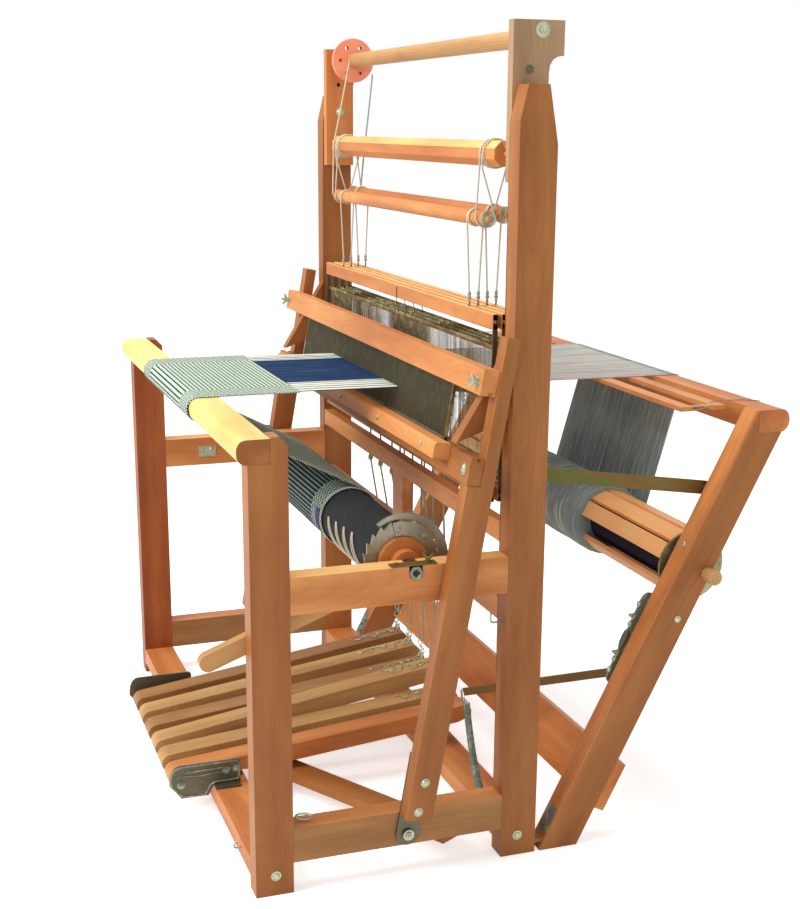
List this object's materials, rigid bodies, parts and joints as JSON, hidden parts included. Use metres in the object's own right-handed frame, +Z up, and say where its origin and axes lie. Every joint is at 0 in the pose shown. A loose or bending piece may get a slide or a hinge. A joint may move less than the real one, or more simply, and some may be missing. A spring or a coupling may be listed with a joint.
{
  "type": "counterbalance floor loom",
  "caption": "Folding wooden counterbalance floor loom with overhead rollers, hung shafts, swinging beater, pivoting treadles, cloth on the front beam and a slanted back frame.",
  "frame": {"origin": "on the floor, below the middle of the loom's overall box", "axes": "+X towards the brake and advance lever side (the weaver's right), +Y towards the back beam, +Z up"},
  "size_m": [1.228, 1.076, 1.458],
  "materials": {
    "maple": "clear varnished maple with fine vertical grain",
    "dark_maple": "clear varnished maple, darker tone",
    "disc_paint": "salmon-orange stained wood",
    "zinc": "zinc plated, slightly green",
    "dark_steel": "dark steel",
    "chromate": "yellow chromate plating",
    "cord": "off-white twisted cord",
    "cloth": "woven cotton, blue with pale stripes",
    "yarn": "blue-grey warp yarn",
    "apron": "black apron cloth over wound cloth",
    "reed_steel": "dark reed steel"
  },
  "bodies": {
    "frame": {"front_post_near": "maple", "front_post_far": "maple", "castle_post_near": "maple", "castle_post_far": "maple", "mid_rail_near": "maple", "mid_rail_far": "maple", "low_rail_near": "maple", "low_rail_far": "maple", "breast_beam": "maple", "front_board": "maple", "castle_bottom_board": "maple", "floor_brace": "dark_maple", "castle_cross_rail": "dark_maple", "castle_extension_near": "maple", "castle_extension_far": "maple", "treadle_brackets": "dark_steel", "woven_cloth": "cloth", "warp_sheet": "yarn", "brake_spring": "dark_steel"},
    "beater": {"beater_sword_near": "maple", "beater_sword_far": "maple", "beater_pivot_plate_near": "dark_steel", "beater_pivot_plate_far": "dark_steel", "beater_support": "maple", "beater_race": "maple", "beater_top_bar": "maple", "reed": "reed_steel"},
    "octagonal_roller": {"octagonal_roller": "maple"},
    "top_roller": {"top_roller": "disc_paint"},
    "front_hanger": {"front_lift_cord_near": "cord", "front_lift_cord_far": "cord"},
    "rear_hanger": {"rear_lift_cord_near": "cord", "rear_lift_cord_far": "cord"},
    "front_roller": {"front_roller": "maple"},
    "rear_roller": {"rear_roller": "maple"},
    "shaft_1": {"shaft_1": "maple"},
    "shaft_2": {"shaft_2": "maple"},
    "shaft_3": {"shaft_3": "maple"},
    "shaft_4": {"shaft_4": "maple"},
    "treadle_1": {"treadle_1": "maple"},
    "treadle_2": {"treadle_2": "maple"},
    "treadle_3": {"treadle_3": "maple"},
    "treadle_4": {"treadle_4": "maple"},
    "treadle_5": {"treadle_5": "maple"},
    "treadle_6": {"treadle_6": "maple"},
    "cloth_beam": {"cloth_beam": "dark_maple", "cloth_roll": "apron"},
    "advance_lever": {"advance_lever": "maple"},
    "back_frame": {"back_leg_near": "maple", "back_leg_far": "maple", "back_beam": "maple", "back_board": "maple", "lease_sticks": "maple", "warp_rear": "yarn"},
    "stays": {"stay_near": "chromate", "stay_far": "chromate"},
    "warp_beam": {"warp_beam": "maple", "warp_roll": "yarn"},
    "brake_lever": {"brake_lever": "zinc"},
    "brake_rod": {"brake_rod": "zinc"}
  },
  "joints": [
    {"name": "beater_swing", "type": "hinge", "parent": "frame", "child": "beater", "pos_m": [0, -0.18398, 0.079], "axis": [1, 0, 0], "range_deg": [0, 14]},
    {"name": "front_hanger_lift", "type": "slide", "parent": "frame", "child": "front_hanger", "axis": [0, 0, 1], "range_m": [-0.012, 0.012]},
    {"name": "rear_hanger_lift", "type": "slide", "parent": "frame", "child": "rear_hanger", "axis": [0, 0, 1], "range_m": [-0.012, 0.012]},
    {"name": "octagonal_roller_turn", "type": "hinge", "parent": "frame", "child": "octagonal_roller", "pos_m": [0, 0.01902, 1.228], "axis": [1, 0, 0], "range_deg": [-31, 31]},
    {"name": "top_roller_turn", "type": "hinge", "parent": "frame", "child": "top_roller", "pos_m": [0, 0.04952, 1.411], "axis": [1, 0, 0], "range_deg": [-43, 43]},
    {"name": "shaft_1_lift", "type": "slide", "parent": "front_hanger", "child": "shaft_1", "axis": [0, 0, 1], "range_m": [-0.012, 0.012]},
    {"name": "shaft_2_lift", "type": "slide", "parent": "front_hanger", "child": "shaft_2", "axis": [0, 0, 1], "range_m": [-0.012, 0.012]},
    {"name": "front_roller_turn", "type": "hinge", "parent": "front_hanger", "child": "front_roller", "pos_m": [0, 0.00452, 1.12], "axis": [1, 0, 0], "range_deg": [-50, 50]},
    {"name": "shaft_3_lift", "type": "slide", "parent": "rear_hanger", "child": "shaft_3", "axis": [0, 0, 1], "range_m": [-0.012, 0.012]},
    {"name": "shaft_4_lift", "type": "slide", "parent": "rear_hanger", "child": "shaft_4", "axis": [0, 0, 1], "range_m": [-0.012, 0.012]},
    {"name": "rear_roller_turn", "type": "hinge", "parent": "rear_hanger", "child": "rear_roller", "pos_m": [0, 0.03852, 1.127], "axis": [1, 0, 0], "range_deg": [-50, 50]},
    {"name": "treadle_1_press", "type": "hinge", "parent": "frame", "child": "treadle_1", "pos_m": [0, -0.51598, 0.066], "axis": [1, 0, 0], "range_deg": [-6.3, 3]},
    {"name": "treadle_2_press", "type": "hinge", "parent": "frame", "child": "treadle_2", "pos_m": [0, -0.51598, 0.066], "axis": [1, 0, 0], "range_deg": [-5.6, 3]},
    {"name": "treadle_3_press", "type": "hinge", "parent": "frame", "child": "treadle_3", "pos_m": [0, -0.51598, 0.066], "axis": [1, 0, 0], "range_deg": [-4.3, 3]},
    {"name": "treadle_4_press", "type": "hinge", "parent": "frame", "child": "treadle_4", "pos_m": [0, -0.51598, 0.066], "axis": [1, 0, 0], "range_deg": [-6.5, 3]},
    {"name": "treadle_5_press", "type": "hinge", "parent": "frame", "child": "treadle_5", "pos_m": [0, -0.51598, 0.066], "axis": [1, 0, 0], "range_deg": [-3.4, 3]},
    {"name": "treadle_6_press", "type": "hinge", "parent": "frame", "child": "treadle_6", "pos_m": [0, -0.51598, 0.066], "axis": [1, 0, 0], "range_deg": [-3.4, 3], "deforming": ["brake_spring"]},
    {"name": "cloth_beam_turn", "type": "hinge", "parent": "frame", "child": "cloth_beam", "pos_m": [0, -0.17128, 0.552], "axis": [1, 0, 0], "continuous": true},
    {"name": "advance_lever_swing", "type": "hinge", "parent": "frame", "child": "advance_lever", "pos_m": [0, -0.17128, 0.552], "axis": [1, 0, 0], "range_deg": [-45, 20]},
    {"name": "back_fold", "type": "hinge", "parent": "frame", "child": "back_frame", "pos_m": [0, 0.06702, 0.017], "axis": [1, 0, 0], "range_deg": [0, 18], "deforming": ["warp_rear"]},
    {"name": "stay_swing", "type": "hinge", "parent": "back_frame", "child": "stays", "pos_m": [0, 0.40102, 0.644], "axis": [1, 0, 0], "range_deg": [-27, 0]},
    {"name": "warp_beam_turn", "type": "hinge", "parent": "back_frame", "child": "warp_beam", "pos_m": [0, 0.38502, 0.497], "axis": [1, 0, 0], "continuous": true},
    {"name": "brake_lever_swing", "type": "hinge", "parent": "back_frame", "child": "brake_lever", "pos_m": [0, 0.30302, 0.436], "axis": [1, 0, 0], "range_deg": [-13, 11.5]},
    {"name": "brake_rod_swing", "type": "hinge", "parent": "brake_lever", "child": "brake_rod", "pos_m": [0, 0.23902, 0.296], "axis": [1, 0, 0], "range_deg": [-26, 29.5]}
  ],
  "couplings": [
    {"joint": "rear_hanger_lift", "follows": "front_hanger_lift", "ratio": -1},
    {"joint": "octagonal_roller_turn", "follows": "front_hanger_lift", "rad_per_m": -44},
    {"joint": "top_roller_turn", "follows": "front_hanger_lift", "rad_per_m": -61.5},
    {"joint": "shaft_2_lift", "follows": "shaft_1_lift", "ratio": -1},
    {"joint": "front_roller_turn", "follows": "shaft_1_lift", "rad_per_m": -70.2},
    {"joint": "shaft_4_lift", "follows": "shaft_3_lift", "ratio": -1},
    {"joint": "rear_roller_turn", "follows": "shaft_3_lift", "rad_per_m": -70.2},
    {"joint": "stay_swing", "follows": "back_fold", "ratio": -1.5},
    {"joint": "brake_lever_swing", "follows": "treadle_6_press", "ratio": 3.77},
    {"joint": "brake_rod_swing", "follows": "treadle_6_press", "ratio": -8.59}
  ]
}
